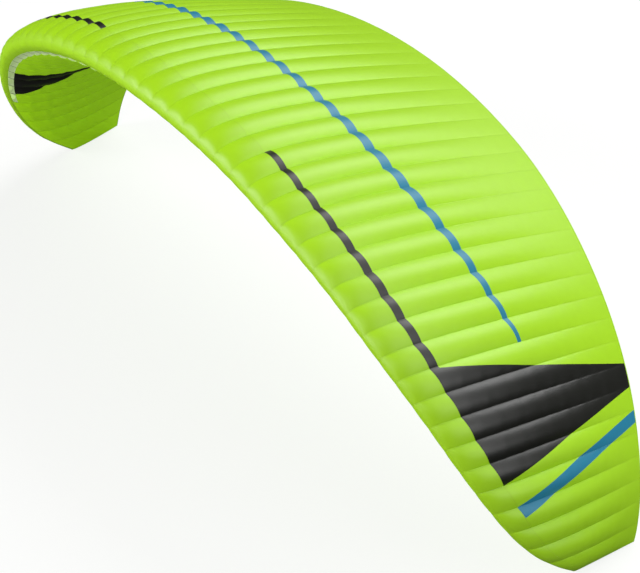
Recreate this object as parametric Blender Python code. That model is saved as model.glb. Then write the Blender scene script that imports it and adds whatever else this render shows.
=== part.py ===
"""Paraglider wing, filled with air and standing as an arch on its two tips.

Metres, +Z up. The nose faces -Y, the trailing edge +Y, and the pilot's left half is at +X.
The wing is a top sail and a bottom sail, each in five spanwise sections, with seven nose panels,
over upright ribs.
"""
import bpy
import math
import numpy as np

# Plan of the wing, laid out along the arc of the sail from the centre to one tip.
HALF_SPAN = 5.4755
CELLS_A_SIDE = 25
CELL_TAPER = 0.3741
CELL_TIP_SPREAD = 0.1567
NOSE_UP = 15.0
WING_Y = -1.3730

# share of the half span, slope of the arc in degrees
ARC = (
    (0.00, 0.00),
    (0.15, 7.31),
    (0.30, 15.47),
    (0.45, 24.88),
    (0.60, 36.57),
    (0.74, 49.33),
    (0.85, 61.00),
    (0.93, 74.83),
    (1.00, 86.79),
)

# share of the half span, chord, set back of the nose
PLAN = (
    (0.00, 2.850, 0.000),
    (0.30, 2.728, 0.075),
    (0.55, 2.402, 0.278),
    (0.75, 1.916, 0.642),
    (0.88, 1.424, 1.038),
    (0.95, 1.031, 1.391),
    (1.00, 0.590, 1.817),
)

# The nose of the outer profiles is turned down, and the last ones fan out along the arc.
TURN_MID = -3.79
TURN_TIP = -2.36
TURN_POINT = 0.30
FAN = 0.1962

# Profile of the ribs, as shares of the chord.
THICKNESS = 0.1619
CAMBER = -0.0126
CAMBER_AT = 0.35
TIP_THIN = 0.28

# Cloth, seams and gaps.
CLOTH = 0.0020
SEAM = 0.0022
PIECE_GAP = 0.0004
LIP_GAP = 0.0008
RIB_CLEAR = 0.0006
RIB_CLOTH = 0.0020

# Cross seam between the nose panel and the top sail: chord share at the centre, and more at a tip.
NOSE_SEAM = 0.10701
NOSE_SEAM_MORE = 0.02573

# Air intake, on the underside of the nose: chord shares of its upper and lower lip.
LIP_UPPER = 0.028
LIP_LOWER = 0.055
CLOSED_TIP_CELLS = 5

# share of the chord, rise of the cloth between its seams as a share of the cell's width
RISE_TOP = (
    (0.00, 0.008),
    (0.03, 0.040),
    (0.12, 0.130),
    (0.35, 0.145),
    (0.60, 0.100),
    (0.85, 0.035),
    (1.00, 0.004),
)
RISE_BOTTOM = (
    (0.00, 0.008),
    (0.03, 0.040),
    (0.12, 0.085),
    (0.50, 0.080),
    (0.85, 0.030),
    (1.00, 0.004),
)

# Chord shares at which the solids have an edge, and steps across one cell.
TOP_SHARES = (1.0, 0.82, 0.64, 0.47, 0.32, 0.19)
NOSE_SHARES = (0.044, 0.0144, 0.0)
NOSE_TURN = 0.007
BOTTOM_SHARES = (0.16, 0.30, 0.48, 0.66, 0.83, 1.0)
TOP_STEPS = 3
BOTTOM_STEPS = 2

# Ribs stand between the open cells only. They stop short of the trailing edge.
RIB_END = 0.25

# name, first and last seam line of the section, counted from the right tip edge
SECTIONS = (
    ("right_tip", 0, 5),
    ("right_outer", 5, 17),
    ("centre", 17, 34),
    ("left_outer", 34, 46),
    ("left_tip", 46, 51),
)

# The nose panels are cut shorter over the middle of the wing, where the arch is widest.
NOSE_SECTIONS = (
    ("right_tip", 0, 5),
    ("right_outer", 5, 17),
    ("right_inner", 17, 21),
    ("centre", 21, 30),
    ("left_inner", 30, 34),
    ("left_outer", 34, 46),
    ("left_tip", 46, 51),
)

LIME = (0.40, 0.78, 0.03, 1.0)
LIME_NOSE = (0.38, 0.74, 0.04, 1.0)
LIME_UNDER = (0.22, 0.42, 0.02, 1.0)
RIB_WHITE = (0.78, 0.82, 0.74, 1.0)


def smooth_curve(table, column, x):
    """Monotone cubic through one column of a table whose first column is the place."""
    xs = np.array([row[0] for row in table])
    ys = np.array([row[column] for row in table])
    h = np.diff(xs)
    m = np.diff(ys) / h
    slope = np.zeros(len(xs))
    for i in range(1, len(xs) - 1):
        if m[i - 1] * m[i] > 0.0:
            w1 = 2.0 * h[i] + h[i - 1]
            w2 = h[i] + 2.0 * h[i - 1]
            slope[i] = (w1 + w2) / (w1 / m[i - 1] + w2 / m[i])
    for end, near, far in ((0, 0, 1), (-1, -1, -2)):
        s = ((2.0 * h[near] + h[far]) * m[near] - h[near] * m[far]) / (h[near] + h[far])
        if s * m[near] <= 0.0:
            s = 0.0
        elif m[near] * m[far] <= 0.0 and abs(s) > 3.0 * abs(m[near]):
            s = 3.0 * m[near]
        slope[end] = s
    i = np.clip(np.searchsorted(xs, x, side="right") - 1, 0, len(h) - 1)
    t = (x - xs[i]) / h[i]
    a = (1.0 + 2.0 * t) * (1.0 - t) ** 2 * ys[i] + t * (1.0 - t) ** 2 * h[i] * slope[i]
    b = t * t * (3.0 - 2.0 * t) * ys[i + 1] + t * t * (t - 1.0) * h[i] * slope[i + 1]
    return a + b


def seam_shares():
    """Signed shares of the half span of all seam lines, from the right tip to the left."""
    k = np.arange(CELLS_A_SIDE + 1)
    x = k / CELLS_A_SIDE
    width = 1.0 - CELL_TAPER * x ** 2 + CELL_TIP_SPREAD * x ** 6
    edge = np.cumsum(width) - width[0] / 2.0
    edge = edge / edge[-1]
    return np.concatenate([-edge[::-1], edge])


def arc_place(share):
    """Sideways place, height and slope of the arc at signed shares of the half span."""
    fine = np.linspace(0.0, 1.0, 301)
    slope = np.radians(smooth_curve(ARC, 1, fine))
    step = HALF_SPAN * np.diff(fine)
    out = np.cos(slope)
    down = np.sin(slope)
    x = np.concatenate([[0.0], np.cumsum((out[1:] + out[:-1]) / 2.0 * step)])
    z = -np.concatenate([[0.0], np.cumsum((down[1:] + down[:-1]) / 2.0 * step)])
    a = np.abs(share)
    side = np.where(share < 0.0, -1.0, 1.0)
    return side * np.interp(a, fine, x), np.interp(a, fine, z), side * np.interp(a, fine, slope)


def profile(share, w):
    """Profile point in its own upright plane. w is the signed root of the chord share:
    1 at the trailing edge on top, 0 at the nose, -1 at the trailing edge below."""
    a = np.abs(share)
    chord = smooth_curve(PLAN, 1, a)
    back = smooth_curve(PLAN, 2, a)
    last = seam_shares()[-2]
    thin = 1.0 - (1.0 - TIP_THIN) * np.clip((a - last) / (1.0 - last), 0.0, 1.0)
    u = w * w
    root = np.abs(w)
    half = 5.0 * THICKNESS * thin * (
        0.2969 * root - 0.1260 * u - 0.3516 * u ** 2 + 0.2843 * u ** 3 - 0.1036 * u ** 4)
    front = CAMBER / CAMBER_AT ** 2 * (2.0 * CAMBER_AT * u - u * u)
    rear = CAMBER / (1.0 - CAMBER_AT) ** 2 * (1.0 - 2.0 * CAMBER_AT + 2.0 * CAMBER_AT * u - u * u)
    middle = np.where(u < CAMBER_AT, front, rear)
    seam = SEAM * np.clip(root / 0.3, 0.0, 1.0)
    high = (middle + np.sign(w) * half) * chord + np.sign(w) * seam
    turn = np.radians(TURN_MID * a ** 2 + TURN_TIP * a ** 6)
    y = u * chord - TURN_POINT * chord
    y_turned = y * np.cos(turn) + high * np.sin(turn) + TURN_POINT * chord + back
    z_turned = high * np.cos(turn) - y * np.sin(turn)
    return y_turned, z_turned


def profile_out(share, w):
    """Unit direction out of the profile, in its own plane."""
    step = 1e-3
    y1, z1 = profile(share, w + step)
    y0, z0 = profile(share, w - step)
    length = np.hypot(y1 - y0, z1 - z0)
    return -(z1 - z0) / length, (y1 - y0) / length


def to_world(share, w, y, z, aside=0.0):
    """Stands the upright profile plane on the arc, pitches the nose up and sets the tips down."""
    x, height, slope = arc_place(share)
    side = np.where(share < 0.0, -1.0, 1.0)
    chord = smooth_curve(PLAN, 1, np.abs(share))
    along = FAN * np.abs(share) ** 6 * (0.5 - w * w) * chord + aside * side
    px = x + np.sin(slope) * z + side * np.cos(slope) * along
    pz = height + np.cos(slope) * z - np.abs(np.sin(slope)) * along
    pitch = math.radians(NOSE_UP)
    wy = y * math.cos(pitch) + pz * math.sin(pitch) + WING_Y
    wz = -y * math.sin(pitch) + pz * math.cos(pitch)
    return np.stack([px, wy, wz], axis=-1)


def tip_edge(w):
    """World height of the closing edge of a tip, before the wing is set down."""
    one = np.ones_like(w)
    y, z = profile(one, w)
    return to_world(one, w, y, z)[..., 2]


def nose_seam(share):
    """Root of the chord share of the cross seam behind the nose."""
    return np.sqrt(NOSE_SEAM + NOSE_SEAM_MORE * np.abs(share) ** 3)


def beside(share, w, distance):
    """Root of the chord share at a distance from w along the profile, towards the rear on top."""
    y0, z0 = profile(share, w)
    y1, z1 = profile(share, w + 0.01)
    return w + 0.01 * distance / np.hypot(y1 - y0, z1 - z0)


def sail_points(share, w, rise, inset):
    """Points of a sail: raised by rise, and set in by the cloth where inset is 1."""
    share, w = np.broadcast_arrays(share, w)
    y, z = profile(share, w)
    ny, nz = profile_out(share, w)
    lift = rise - inset * CLOTH
    points = to_world(share, w, y + ny * lift, z + nz * lift)
    level = tip_edge(np.linspace(-1.0, 1.0, 41)).mean()
    last = seam_shares()[-2]
    t = np.clip((np.abs(share) - last) / (1.0 - last), 0.0, 1.0)
    points[..., 2] -= level + t * t * (tip_edge(w) - level)
    points[..., 2] = np.where(t >= 1.0, 0.0, points[..., 2])
    return points


def section_stations(first, last, steps):
    """Shares along one section, with how far each lies across its cell and the cell's width."""
    seams = seam_shares()
    shares = []
    across = []
    widths = []
    for cell in range(first, last):
        a = seams[cell]
        b = seams[cell + 1]
        for i in range(steps + (1 if cell == last - 1 else 0)):
            t = i / steps
            shares.append(a + (b - a) * t)
            across.append(t)
            widths.append((b - a) * HALF_SPAN)
    shares = np.array(shares)
    gap = PIECE_GAP / 2.0 / HALF_SPAN
    if first > 0:
        shares[0] += gap
    if last < len(seams) - 1:
        shares[-1] -= gap
    return shares, np.array(across), np.array(widths)


def shell_mesh(outer, inner):
    """Closed sheet between an outer and an inner grid of points."""
    rows, cols = outer.shape[:2]
    count = rows * cols
    points = np.concatenate([outer.reshape(-1, 3), inner.reshape(-1, 3)])
    index = np.arange(count).reshape(rows, cols)
    a = index[:-1, :-1].ravel()
    b = index[1:, :-1].ravel()
    c = index[1:, 1:].ravel()
    d = index[:-1, 1:].ravel()
    faces = [np.stack([a, b, c], 1), np.stack([a, c, d], 1)]
    faces += [np.stack([a, c, b], 1) + count, np.stack([a, d, c], 1) + count]
    rim = np.concatenate([index[:-1, 0], index[-1, :-1], index[:0:-1, -1], index[0, :0:-1]])
    after = np.roll(rim, -1)
    faces += [np.stack([after, rim, rim + count], 1)]
    faces += [np.stack([after, rim + count, after + count], 1)]
    return points, np.concatenate(faces)


def plate_mesh(top, bottom, half_top, half_bottom):
    """Closed plate from two rows of points that run from the rear to the front."""
    n = len(top)
    m = len(bottom)
    sheet = []
    i = 0
    j = 0
    while i < n - 1 or j < m - 1:
        use_top = j == m - 1 or (i < n - 1 and top[i + 1][1] > bottom[j + 1][1])
        if use_top:
            sheet.append((i, i + 1, n + j))
            i += 1
        else:
            sheet.append((i, n + j + 1, n + j))
            j += 1
    points = np.concatenate([top, bottom])
    half = np.concatenate([half_top, half_bottom])
    count = n + m
    ring = list(range(n)) + list(range(n + m - 1, n - 1, -1))
    faces = [tuple(f) for f in sheet]
    faces += [(f[0] + count, f[2] + count, f[1] + count) for f in sheet]
    for k, p in enumerate(ring):
        q = ring[(k + 1) % count]
        faces.append((q, p, p + count))
        faces.append((q, p + count, q + count))
    return np.concatenate([points + half, points - half]), np.array(faces)


def signed_volume(points, faces):
    """Volume inside the triangles, positive where they face outwards."""
    a = points[faces[:, 0]]
    b = points[faces[:, 1]]
    c = points[faces[:, 2]]
    return float(np.einsum("ij,ij->i", a, np.cross(b, c)).sum() / 6.0)


def add_solid(name, points, faces, material, collection):
    """Makes one closed object with its faces outwards."""
    if signed_volume(points, faces) < 0.0:
        faces = faces[:, ::-1]
    mesh = bpy.data.meshes.new(name)
    mesh.from_pydata(points.tolist(), [], faces.tolist())
    mesh.materials.append(material)
    mesh.update()
    solid = bpy.data.objects.new(name, mesh)
    collection.objects.link(solid)
    return solid


def new_material(name, colour, roughness):
    """A plain cloth material."""
    material = bpy.data.materials.new(name)
    material.use_nodes = True
    shader = material.node_tree.nodes["Principled BSDF"]
    shader.inputs["Base Color"].default_value = colour
    shader.inputs["Roughness"].default_value = roughness
    return material


def top_sail(name, first, last, material, collection):
    """One section of the top sail, from the trailing edge to the cross seam behind the nose."""
    shares, across, widths = section_stations(first, last, TOP_STEPS)
    rear = np.broadcast_to(np.sqrt(np.array(TOP_SHARES)), (len(shares), len(TOP_SHARES)))
    seam = beside(shares, nose_seam(shares), PIECE_GAP / 2.0)
    w = np.concatenate([rear, seam[:, None]], axis=1)
    return top_piece("top_" + name, shares, across, widths, w, material, collection)


def nose_panel(name, first, last, material, collection):
    """One section of the nose, from the cross seam round the front to the upper lip."""
    shares, across, widths = section_stations(first, last, TOP_STEPS)
    seam = beside(shares, nose_seam(shares), -PIECE_GAP / 2.0)
    below = -np.sqrt(np.array((NOSE_TURN, LIP_UPPER)))
    front = np.append(np.sqrt(np.array(NOSE_SHARES)), below)
    w = np.concatenate([seam[:, None], np.broadcast_to(front, (len(shares), len(front)))], axis=1)
    return top_piece("nose_" + name, shares, across, widths, w, material, collection)


def top_piece(name, shares, across, widths, w, material, collection):
    """Closed sheet of top cloth over the given stations and roots of the chord share."""
    crown = 4.0 * across * (1.0 - across) * widths
    rise = crown[:, None] * smooth_curve(RISE_TOP, 1, w * w)
    outer = sail_points(shares[:, None], w, rise, 0.0)
    inner = sail_points(shares[:, None], w, rise, 1.0)
    points, faces = shell_mesh(outer, inner)
    return add_solid(name, points, faces, material, collection)


def bottom_sail(name, first, last, closed, material, collection):
    """One section of the bottom sail. Over the closed tip cells it runs on to the upper lip."""
    shares, across, widths = section_stations(first, last, TOP_STEPS if closed else BOTTOM_STEPS)
    rear = [-math.sqrt(u) for u in BOTTOM_SHARES]
    w = np.array([-math.sqrt(LIP_LOWER)] + rear)
    w = np.broadcast_to(w, (len(shares), len(w))).copy()
    if closed:
        front = beside(shares, -math.sqrt(LIP_UPPER) * np.ones(len(shares)), -LIP_GAP)
        w = np.concatenate([front[:, None], w], axis=1)
    crown = 4.0 * across * (1.0 - across) * widths
    rise = crown[:, None] * smooth_curve(RISE_BOTTOM, 1, w * w)
    outer = sail_points(shares[:, None], w, rise, 0.0)
    inner = sail_points(shares[:, None], w, rise, 1.0)
    points, faces = shell_mesh(outer, inner)
    return add_solid("bottom_" + name, points, faces, material, collection)


def rib(name, share, material, collection):
    """Upright cloth wall between two cells, clear of the sails above and below it."""
    top_w = np.sqrt(np.array(TOP_SHARES + (nose_seam(share) ** 2,) + NOSE_SHARES))
    low_w = -np.sqrt(np.array((LIP_UPPER, LIP_LOWER) + BOTTOM_SHARES))[::-1]
    rows = []
    for w in (top_w, low_w):
        place = share * np.ones(len(w))
        y, z = profile(place, w)
        ny, nz = profile_out(place, w)
        line = np.stack([y - ny * (CLOTH + RIB_CLEAR), z - nz * (CLOTH + RIB_CLEAR), w], axis=1)
        line[0] = line[0] + (line[1] - line[0]) * RIB_END
        rows.append(line)
    level = tip_edge(np.linspace(-1.0, 1.0, 41)).mean()
    ends = []
    for line in rows:
        place = share * np.ones(len(line))
        middle = to_world(place, line[:, 2], line[:, 0], line[:, 1])
        side = to_world(place, line[:, 2], line[:, 0], line[:, 1], RIB_CLOTH / 2.0)
        middle[:, 2] -= level
        side[:, 2] -= level
        ends.append((middle, side - middle))
    (top, half_top), (bottom, half_bottom) = ends
    points, faces = plate_mesh(top, bottom, half_top, half_bottom)
    return add_solid(name, points, faces, material, collection)


def build():
    """Clears the file and makes every solid of the wing."""
    for old in list(bpy.data.objects):
        bpy.data.objects.remove(old, do_unlink=True)
    collection = bpy.data.collections.new("paraglider_wing")
    bpy.context.scene.collection.children.link(collection)
    lime = new_material("top_cloth", LIME, 0.45)
    nose = new_material("nose_cloth", LIME_NOSE, 0.45)
    under = new_material("bottom_cloth", LIME_UNDER, 0.5)
    white = new_material("rib_cloth", RIB_WHITE, 0.6)
    for name, first, last in SECTIONS:
        top_sail(name, first, last, lime, collection)
        bottom_sail(name, first, last, name.endswith("tip"), under, collection)
    for name, first, last in NOSE_SECTIONS:
        nose_panel(name, first, last, nose, collection)
    seams = seam_shares()
    middle = len(seams) // 2
    for number in range(1, CELLS_A_SIDE - CLOSED_TIP_CELLS + 2):
        place = seams[middle + number - 1]
        rib("rib_left_%02d" % number, place, white, collection)
        rib("rib_right_%02d" % number, -place, white, collection)


build()
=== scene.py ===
"""A paraglider wing, filled with air and standing as an arch on its two tips.

Metres, +Z up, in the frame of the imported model. The nose faces -Y and the pilot's left half is at +X.
"""
import math

import bpy
import numpy as np
from mathutils import Euler, Matrix, Vector


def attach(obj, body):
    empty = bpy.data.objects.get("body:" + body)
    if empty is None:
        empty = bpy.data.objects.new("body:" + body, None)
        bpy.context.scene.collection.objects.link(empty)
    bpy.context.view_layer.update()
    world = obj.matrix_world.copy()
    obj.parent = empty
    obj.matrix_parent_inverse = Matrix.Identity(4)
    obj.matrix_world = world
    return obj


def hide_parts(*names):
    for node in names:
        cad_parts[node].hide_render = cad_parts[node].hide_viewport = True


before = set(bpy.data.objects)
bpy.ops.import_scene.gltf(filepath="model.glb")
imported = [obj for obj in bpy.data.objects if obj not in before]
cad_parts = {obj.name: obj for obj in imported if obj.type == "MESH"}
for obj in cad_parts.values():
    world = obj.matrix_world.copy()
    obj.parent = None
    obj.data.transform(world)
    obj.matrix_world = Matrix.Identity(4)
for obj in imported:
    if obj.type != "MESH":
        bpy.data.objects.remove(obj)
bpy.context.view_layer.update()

# ---------------------------------------------------------------------------------------------
# Camera. A long lens, high in front of the wing's left tip, looking back across the whole span.
# Its turn is in degrees about X, then Y, then Z.
# ---------------------------------------------------------------------------------------------
CAMERA_PLACE = (15.4417, -8.6461, 13.8302)
CAMERA_TURN = (51.8893, 6.5673, 55.5979)

camera = bpy.data.objects.new("camera", bpy.data.cameras.new("camera"))
bpy.context.scene.collection.objects.link(camera)
camera.data.sensor_width = 36.0
camera.data.lens = 132.67
camera.data.shift_x = 0.00197
camera.data.shift_y = 0.0370
camera.data.clip_end = 400.0
turned = Euler([math.radians(angle) for angle in CAMERA_TURN]).to_matrix().to_4x4()
camera.matrix_world = Matrix.Translation(CAMERA_PLACE) @ turned
bpy.context.scene.camera = camera

# ---------------------------------------------------------------------------------------------
# Studio. A pale seamless floor under the tips, a white room round it, one broad softbox high
# behind the wing, three ahead of the nose and two weak ones to the left.
# ---------------------------------------------------------------------------------------------
FLOOR_HALF = 60.0
FLOOR_DROP = 0.001
FLOOR_GLOW = 0.78
FLOOR_SEEN = 0.24
FLOOR_BOUNCE = 0.26
ROOM_SEEN = 0.90
ROOM_FILL = 0.04

bpy.context.scene.view_settings.view_transform = "Standard"


def srgb(red, green, blue):
    """A colour given as 0-255 screen values, as the linear values that shaders take:
    c / 12.92 below 0.04045, and ((c + 0.055) / 1.055) to the power 2.4 above it."""
    c = np.array([red, green, blue]) / 255.0
    low = c / 12.92
    high = ((c + 0.055) / 1.055) ** 2.4
    return (*np.where(c <= 0.04045, low, high).tolist(), 1.0)


def add_node(tree, kind, *inputs, **settings):
    """Adds a node, sets its properties, and then its enabled inputs in order: each is linked to a
    socket or set to a value."""
    made = tree.nodes.new(kind)
    for key, value in settings.items():
        setattr(made, key, value)
    for socket, value in zip([s for s in made.inputs if s.enabled], inputs):
        if isinstance(value, bpy.types.NodeSocket):
            tree.links.new(value, socket)
        else:
            socket.default_value = value
    return made


def math_node(tree, operation, *inputs):
    """One arithmetic step, as its output socket."""
    return add_node(tree, "ShaderNodeMath", *inputs, operation=operation).outputs[0]


def ramp(tree, value, start, end, first, last):
    """A socket that runs straight from first to last while value runs from start to end, and
    stays there outside them."""
    return add_node(tree, "ShaderNodeMapRange", value, start, end, first, last).outputs[0]


floor_mesh = bpy.data.meshes.new("floor")
floor_mesh.from_pydata(
    [(x, y, -FLOOR_DROP) for x, y in ((-1, -1), (1, -1), (1, 1), (-1, 1))], [], [(0, 1, 2, 3)])
floor_mesh.transform(Matrix.Diagonal((FLOOR_HALF, FLOOR_HALF, 1.0, 1.0)))
floor = bpy.data.objects.new("floor", floor_mesh)
bpy.context.scene.collection.objects.link(floor)
floor.visible_glossy = False

floor_paint = bpy.data.materials.new("studio_floor")
floor_paint.use_nodes = True
floor_tree = floor_paint.node_tree
floor_shader = floor_tree.nodes["Principled BSDF"]
floor_shader.inputs["Roughness"].default_value = 0.9
floor_shader.inputs["Specular IOR Level"].default_value = 0.1
seen = add_node(floor_tree, "ShaderNodeLightPath").outputs["Is Camera Ray"]
grey = ramp(floor_tree, seen, 0.0, 1.0, FLOOR_BOUNCE, FLOOR_SEEN)
floor_colour = add_node(floor_tree, "ShaderNodeCombineColor", grey, grey, grey).outputs[0]
floor_tree.links.new(floor_colour, floor_shader.inputs["Base Color"])
floor_shader.inputs["Emission Color"].default_value = srgb(255, 255, 255)
floor_glow = math_node(floor_tree, "MULTIPLY", seen, FLOOR_GLOW)
floor_tree.links.new(floor_glow, floor_shader.inputs["Emission Strength"])
floor_mesh.materials.append(floor_paint)

room = bpy.data.worlds.new("room")
room.use_nodes = True
room_light = room.node_tree.nodes["Background"]
room_light.inputs["Color"].default_value = srgb(250, 251, 255)
room_seen = add_node(room.node_tree, "ShaderNodeLightPath").outputs["Is Camera Ray"]
room_strength = ramp(room.node_tree, room_seen, 0.0, 1.0, ROOM_FILL, ROOM_SEEN)
room.node_tree.links.new(room_strength, room_light.inputs["Strength"])
bpy.context.scene.world = room

WING_MIDDLE = 1.8

# name, direction from the wing, distance, side, light on a white surface as a share of full brightness
SOFTBOXES = (
    ("rear_softbox", (-0.10, 0.66, 0.71), 31.0, 21.0, 0.75),
    ("front_softbox", (-0.05, -0.98, 0.12), 26.0, 10.0, 0.36),
    ("right_softbox", (-0.57, -0.75, 0.36), 27.0, 10.0, 0.44),
    ("high_softbox", (0.42, -0.68, 0.55), 28.0, 9.0, 0.15),
    ("left_softbox", (0.60, 0.25, 0.74), 28.0, 18.0, 0.22),
    ("side_softbox", (0.93, 0.18, 0.32), 27.0, 14.0, 0.23))


def softbox(name, direction, distance, size, light_on):
    """A square area light at a distance from the wing's middle, facing it. It gives light_on, as
    a share of a white surface's full brightness, so its power is light_on pi^2 distance^2."""
    light = bpy.data.lights.new(name, "AREA")
    light.shape = "SQUARE"
    light.size = size
    light.energy = light_on * (math.pi * distance) ** 2
    holder = bpy.data.objects.new(name, light)
    bpy.context.scene.collection.objects.link(holder)
    away = Vector(direction).normalized()
    place = Vector((0.0, 0.0, WING_MIDDLE)) + away * distance
    holder.matrix_world = Matrix.Translation(place) @ away.to_track_quat("Z", "Y").to_matrix().to_4x4()


for setting in SOFTBOXES:
    softbox(*setting)

# ---------------------------------------------------------------------------------------------
# Top sail. Coated ripstop nylon, cut as one strip a cell and sewn together over the ribs, so
# each strip swells between its two seams. Five sections run from the trailing edge over the top
# to the cross seam behind the nose. Stripes and a wedge of black and blue cloth are let in.
# ---------------------------------------------------------------------------------------------

# half of the span along the flat cloth, the cells on each side of the middle one, and how much
# they narrow and widen again out to the tip
HALF_SPAN = 5.4755
CELLS_A_SIDE = 25
CELL_TAPER = 0.3741
CELL_TIP_SPREAD = 0.1567

# how far the whole wing is pitched up, and the place of its nose
NOSE_UP = math.radians(15.0)
WING_Y = -1.3730

# share of the half span, slope of the arc in degrees
ARC = np.array([
    (0.00, 0.00), (0.15, 7.31), (0.30, 15.47), (0.45, 24.88), (0.60, 36.57),
    (0.74, 49.33), (0.85, 61.00), (0.93, 74.83), (1.00, 86.79)])
ARC_POINTS = 301

# share of the half span, chord, set back of the nose
PLAN = np.array([
    (0.00, 2.850, 0.000), (0.30, 2.728, 0.075), (0.55, 2.402, 0.278), (0.75, 1.916, 0.642),
    (0.88, 1.424, 1.038), (0.95, 1.031, 1.391), (1.00, 0.590, 1.817)])

# degrees that the profiles turn out to the tip, by the square and the sixth power of the share,
# about a point on the chord, and how far their noses fan out along the arc
TURN_MID = -3.79
TURN_TIP = -2.36
TURN_POINT = 0.30
FAN = 0.1962

# the profile, in shares of the chord, and how much of its thickness is left at the tip
THICKNESS = 0.1619
CAMBER = -0.0126
CAMBER_AT = 0.35
TIP_THIN = 0.28

# the seam's own thickness, the root of the chord share from which it is full, the gap between two
# sections, and the cloth
SEAM = 0.0022
SEAM_FULL = 0.3
PIECE_GAP = 0.0004
CLOTH = 0.0012

# chord share of the cross seam behind the nose: in the middle, and how much more at the tip
NOSE_SEAM = 0.10701
NOSE_SEAM_TIP = 0.02573

# share of the chord, rise of the top cloth as a share of the cell's width
RISE_TOP = np.array([
    (0.00, 0.008), (0.005, 0.028), (0.014, 0.068), (0.035, 0.102), (0.07, 0.126), (0.12, 0.143),
    (0.35, 0.149), (0.60, 0.102), (0.85, 0.032), (1.00, 0.002)])

# name, first and last seam line, counted from the right tip edge
SECTIONS = (("right_tip", 0, 5), ("right_outer", 5, 17), ("centre", 17, 34),
            ("left_outer", 34, 46), ("left_tip", 46, 51))

# where the points lie across a cell; they crowd up to the seams, so the crease stays narrow
ACROSS = np.array([0.0, 0.015, 0.05, 0.11, 0.20, 0.31, 0.43, 0.57, 0.69, 0.80, 0.89, 0.95, 0.985])


def curve(table, column, x):
    """Monotone cubic through a column of a table: between two rows, the Hermite cubic whose end
    slopes are the weighted harmonic means of the two slopes that meet at each row."""
    xs, ys = table[:, 0], table[:, column]
    h = np.diff(xs)
    m = np.diff(ys) / h
    slope = np.zeros(len(xs))
    w1, w2 = 2.0 * h[1:] + h[:-1], h[1:] + 2.0 * h[:-1]
    turns = m[:-1] * m[1:] > 0.0
    m1, m2 = np.where(turns, m[:-1], 1.0), np.where(turns, m[1:], 1.0)
    slope[1:-1][turns] = ((w1 + w2) / (w1 / m1 + w2 / m2))[turns]
    for end, near, far in ((0, 0, 1), (-1, -1, -2)):
        s = ((2.0 * h[near] + h[far]) * m[near] - h[near] * m[far]) / (h[near] + h[far])
        if s * m[near] <= 0.0:
            s = 0.0
        elif m[near] * m[far] <= 0.0 and abs(s) > 3.0 * abs(m[near]):
            s = 3.0 * m[near]
        slope[end] = s
    i = np.clip(np.searchsorted(xs, x, side="right") - 1, 0, len(h) - 1)
    t = (x - xs[i]) / h[i]
    a = (1.0 + 2.0 * t) * (1.0 - t) ** 2 * ys[i] + t * (1.0 - t) ** 2 * h[i] * slope[i]
    b = t * t * (3.0 - 2.0 * t) * ys[i + 1] + t * t * (t - 1.0) * h[i] * slope[i + 1]
    return a + b


def seam_shares():
    """Signed shares of the half span of the 52 seam lines. A cell's width is
    1 - taper x^2 + spread x^6, with x from 0 at the centre to 1 at the tip. The running sum of
    the widths, less half the middle cell, gives the seams."""
    x = np.arange(CELLS_A_SIDE + 1) / CELLS_A_SIDE
    width = 1.0 - CELL_TAPER * x ** 2 + CELL_TIP_SPREAD * x ** 6
    edge = np.cumsum(width) - width[0] / 2.0
    edge = edge / edge[-1]
    return np.concatenate([-edge[::-1], edge])


SEAMS = seam_shares()


def arc_place(share):
    """Sideways place, height and slope of the arc: the running sums of cos and sin of the slope
    along the half span."""
    fine = np.linspace(0.0, 1.0, ARC_POINTS)
    slope = np.radians(curve(ARC, 1, fine))
    step = HALF_SPAN * np.diff(fine) / 2.0
    x = np.concatenate([[0.0], np.cumsum((np.cos(slope[1:]) + np.cos(slope[:-1])) * step)])
    z = -np.concatenate([[0.0], np.cumsum((np.sin(slope[1:]) + np.sin(slope[:-1])) * step)])
    a, side = np.abs(share), np.where(share < 0.0, -1.0, 1.0)
    return side * np.interp(a, fine, x), np.interp(a, fine, z), side * np.interp(a, fine, slope)


def profile(share, w):
    """Profile point in its upright plane. w is the signed root of the chord share u: 1 at the
    trailing edge on top, 0 at the nose, -1 below. Half thickness is 5 times the thickness times
    0.2969 |w| - 0.1260 u - 0.3516 u^2 + 0.2843 u^3 - 0.1036 u^4, over a line of two parabolas,
    and the seam's own thickness is added. Then the profile is turned about its turning point."""
    a = np.abs(share)
    chord, back = curve(PLAN, 1, a), curve(PLAN, 2, a)
    last = SEAMS[-2]
    thin = 1.0 - (1.0 - TIP_THIN) * np.clip((a - last) / (1.0 - last), 0.0, 1.0)
    u, root = w * w, np.abs(w)
    half = 5.0 * THICKNESS * thin * (
        0.2969 * root - 0.1260 * u - 0.3516 * u ** 2 + 0.2843 * u ** 3 - 0.1036 * u ** 4)
    front = CAMBER / CAMBER_AT ** 2 * (2.0 * CAMBER_AT * u - u * u)
    rear = CAMBER / (1.0 - CAMBER_AT) ** 2 * (1.0 - 2.0 * CAMBER_AT + 2.0 * CAMBER_AT * u - u * u)
    middle = np.where(u < CAMBER_AT, front, rear)
    seam = SEAM * np.clip(root / SEAM_FULL, 0.0, 1.0)
    high = (middle + np.sign(w) * half) * chord + np.sign(w) * seam
    turn = np.radians(TURN_MID * a ** 2 + TURN_TIP * a ** 6)
    y = u * chord - TURN_POINT * chord
    return (y * np.cos(turn) + high * np.sin(turn) + TURN_POINT * chord + back,
            high * np.cos(turn) - y * np.sin(turn))


def profile_out(share, w):
    """Unit direction out of the profile: its tangent by differences, turned a quarter turn."""
    step = 1e-3
    y1, z1 = profile(share, w + step)
    y0, z0 = profile(share, w - step)
    length = np.hypot(y1 - y0, z1 - z0)
    return -(z1 - z0) / length, (y1 - y0) / length


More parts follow.
